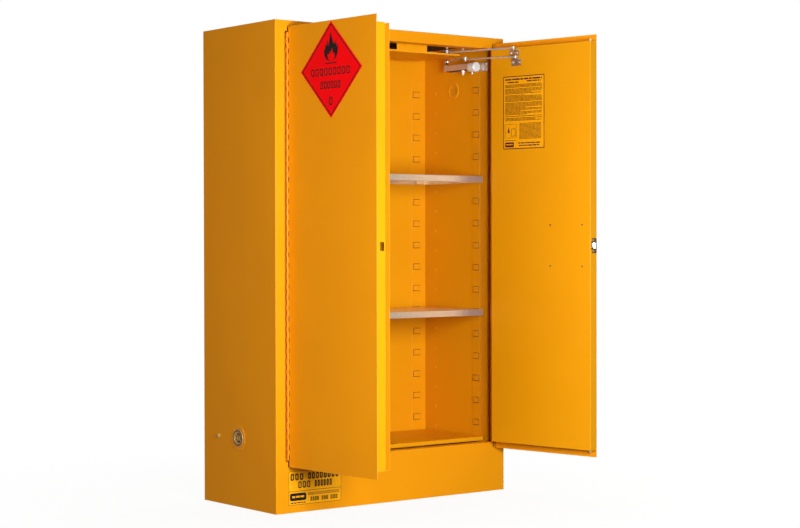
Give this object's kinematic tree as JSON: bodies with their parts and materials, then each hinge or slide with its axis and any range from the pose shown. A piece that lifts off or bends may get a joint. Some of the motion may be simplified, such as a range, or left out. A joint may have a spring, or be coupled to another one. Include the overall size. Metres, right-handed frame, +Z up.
{
  "type": "flammable storage cabinet",
  "caption": "Upright double-walled steel storage cabinet with hinged doors on self-closing arms, shelves over a spill sump, plugged vents and a latching handle.",
  "frame": {"origin": "centre of the carcass footprint on the floor", "axes": "+Z up, front faces -Y, +X to the right seen from the front"},
  "size_m": [1.1502, 1.0276, 1.825],
  "materials": {
    "yellow_outer": "satin powder coat",
    "yellow_inner": "satin powder coat",
    "yellow_hinge": "satin powder coat",
    "base_steel": "matte",
    "galvanised": "galvanised",
    "zinc_hinge": "zinc plated",
    "brass": "satin",
    "zinc_plate": "zinc plated",
    "bright_steel": "bright",
    "closer_metal": "satin",
    "black_handle": "matte",
    "chrome": "polished"
  },
  "bodies": {
    "carcass": {"back_panel": "yellow_outer", "base_panel": "base_steel", "closer_body_left": "closer_metal", "closer_body_right": "closer_metal", "closer_channel": "yellow_inner", "crank_posts": "zinc_plate", "earth_screw": "brass", "flame_screens": "zinc_plate", "hinge_leaf_frame_left": "yellow_hinge", "hinge_leaf_frame_right": "yellow_hinge", "hinge_pins": "zinc_hinge", "liner_back": "yellow_inner", "liner_left": "yellow_inner", "liner_right": "yellow_inner", "liner_top": "yellow_inner", "shelf_bottom": "yellow_inner", "shelf_clips": "galvanised", "shelf_lower": "galvanised", "shelf_upper": "galvanised", "side_panel_left": "yellow_outer", "side_panel_right": "yellow_outer", "sill_panel": "yellow_outer", "sump_tray": "yellow_inner", "top_panel": "yellow_outer", "upright_back_left": "yellow_inner", "upright_back_right": "yellow_inner", "upright_front_left": "yellow_inner", "upright_front_right": "yellow_inner", "vent_bungs": "brass", "vent_socket_left": "zinc_plate", "vent_socket_right": "yellow_inner"},
    "closer_arm_left": {"closer_arm_left": "bright_steel"},
    "closer_link_left": {"closer_link_left": "bright_steel"},
    "stay_crank_left": {"stay_crank_left": "bright_steel"},
    "stay_rod_left": {"stay_rod_left": "bright_steel"},
    "closer_arm_right": {"closer_arm_right": "bright_steel"},
    "closer_link_right": {"closer_link_right": "bright_steel"},
    "stay_crank_right": {"stay_crank_right": "bright_steel"},
    "stay_rod_right": {"stay_rod_right": "bright_steel"},
    "door_left": {"door_skin_left": "yellow_outer", "door_pan_left": "yellow_inner", "hinge_leaf_door_left": "yellow_hinge", "astragal": "yellow_inner", "link_brackets_left": "zinc_plate", "door_screws_left": "zinc_plate"},
    "door_right": {"door_skin_right": "yellow_outer", "door_pan_right": "yellow_inner", "hinge_leaf_door_right": "yellow_hinge", "link_brackets_right": "zinc_plate", "door_screws_right": "zinc_plate", "latch_plate": "zinc_plate", "latch_case": "zinc_plate", "handle_cup": "yellow_inner", "handle_fixings": "zinc_plate", "paddle_pin": "bright_steel"},
    "paddle": {"paddle": "black_handle"},
    "lock_cylinder": {"lock_cylinder": "chrome"},
    "latch_tongue": {"latch_tongue": "bright_steel"},
    "lock_rod_top": {"lock_rod_top": "zinc_plate"},
    "lock_rod_bottom": {"lock_rod_bottom": "zinc_plate"}
  },
  "joints": [
    {"name": "door_left_swing", "type": "hinge", "parent": "carcass", "child": "door_left", "pos_m": [-0.50725, -0.2565, 0.99], "axis": [0, 0, -1], "range_deg": [-86.5, 15.5]},
    {"name": "closer_arm_left_turn", "type": "hinge", "parent": "carcass", "child": "closer_arm_left", "pos_m": [-0.478, 0.016, 1.745], "axis": [0, 0, -1], "range_deg": [-87.5, 16.5]},
    {"name": "closer_link_left_turn", "type": "hinge", "parent": "closer_arm_left", "child": "closer_link_left", "pos_m": [-0.40747, -0.13137, 1.745], "axis": [0, 0, -1], "range_deg": [-16.5, 87.5]},
    {"name": "stay_crank_left_turn", "type": "hinge", "parent": "carcass", "child": "stay_crank_left", "pos_m": [-0.411, 0.04, 1.771], "axis": [0, 0, -1], "range_deg": [-87.5, 16.5]},
    {"name": "stay_rod_left_turn", "type": "hinge", "parent": "stay_crank_left", "child": "stay_rod_left", "pos_m": [-0.34108, -0.09739, 1.771], "axis": [0, 0, -1], "range_deg": [-16.5, 87.5]},
    {"name": "door_right_swing", "type": "hinge", "parent": "carcass", "child": "door_right", "pos_m": [0.50725, -0.2565, 0.99], "axis": [0, 0, 1], "range_deg": [-99.8, 2.2]},
    {"name": "closer_arm_right_turn", "type": "hinge", "parent": "carcass", "child": "closer_arm_right", "pos_m": [0.478, 0.016, 1.745], "axis": [0, 0, 1], "range_deg": [-100.8, 3.2]},
    {"name": "closer_link_right_turn", "type": "hinge", "parent": "closer_arm_right", "child": "closer_link_right", "pos_m": [0.44327, -0.14364, 1.745], "axis": [0, 0, 1], "range_deg": [-3.2, 100.8]},
    {"name": "stay_crank_right_turn", "type": "hinge", "parent": "carcass", "child": "stay_crank_right", "pos_m": [0.411, 0.04, 1.771], "axis": [0, 0, 1], "range_deg": [-100.8, 3.2]},
    {"name": "stay_rod_right_turn", "type": "hinge", "parent": "stay_crank_right", "child": "stay_rod_right", "pos_m": [0.37456, -0.10979, 1.771], "axis": [0, 0, 1], "range_deg": [-3.2, 100.8]},
    {"name": "paddle_pull", "type": "hinge", "parent": "door_right", "child": "paddle", "pos_m": [0.56223, -0.64176, 1.052], "axis": [0.1702, -0.9854, 0], "range_deg": [0, 38], "stiffness_Nm_per_rad": 0.3},
    {"name": "key_turn", "type": "hinge", "parent": "paddle", "child": "lock_cylinder", "pos_m": [0.56223, -0.64176, 1.012], "axis": [0.9854, 0.1702, 0], "range_deg": [0, 90]},
    {"name": "latch_slide", "type": "slide", "parent": "door_right", "child": "latch_tongue", "axis": [-0.1702, 0.9854, 0], "range_m": [0, 0.01]},
    {"name": "bolt_top_slide", "type": "slide", "parent": "door_right", "child": "lock_rod_top", "axis": [0, 0, -1], "range_m": [0, 0.01]},
    {"name": "bolt_bottom_slide", "type": "slide", "parent": "door_right", "child": "lock_rod_bottom", "axis": [0, 0, 1], "range_m": [0, 0.01]}
  ],
  "couplings": [
    {"joint": "closer_arm_left_turn", "follows": "door_left_swing", "ratio": 1},
    {"joint": "closer_link_left_turn", "follows": "door_left_swing", "ratio": -1},
    {"joint": "stay_crank_left_turn", "follows": "door_left_swing", "ratio": 1},
    {"joint": "stay_rod_left_turn", "follows": "door_left_swing", "ratio": -1},
    {"joint": "closer_arm_right_turn", "follows": "door_right_swing", "ratio": 1},
    {"joint": "closer_link_right_turn", "follows": "door_right_swing", "ratio": -1},
    {"joint": "stay_crank_right_turn", "follows": "door_right_swing", "ratio": 1},
    {"joint": "stay_rod_right_turn", "follows": "door_right_swing", "ratio": -1},
    {"joint": "latch_slide", "follows": "paddle_pull", "m_per_rad": 0.014776},
    {"joint": "bolt_top_slide", "follows": "paddle_pull", "m_per_rad": 0.014776},
    {"joint": "bolt_bottom_slide", "follows": "paddle_pull", "m_per_rad": 0.014776}
  ]
}
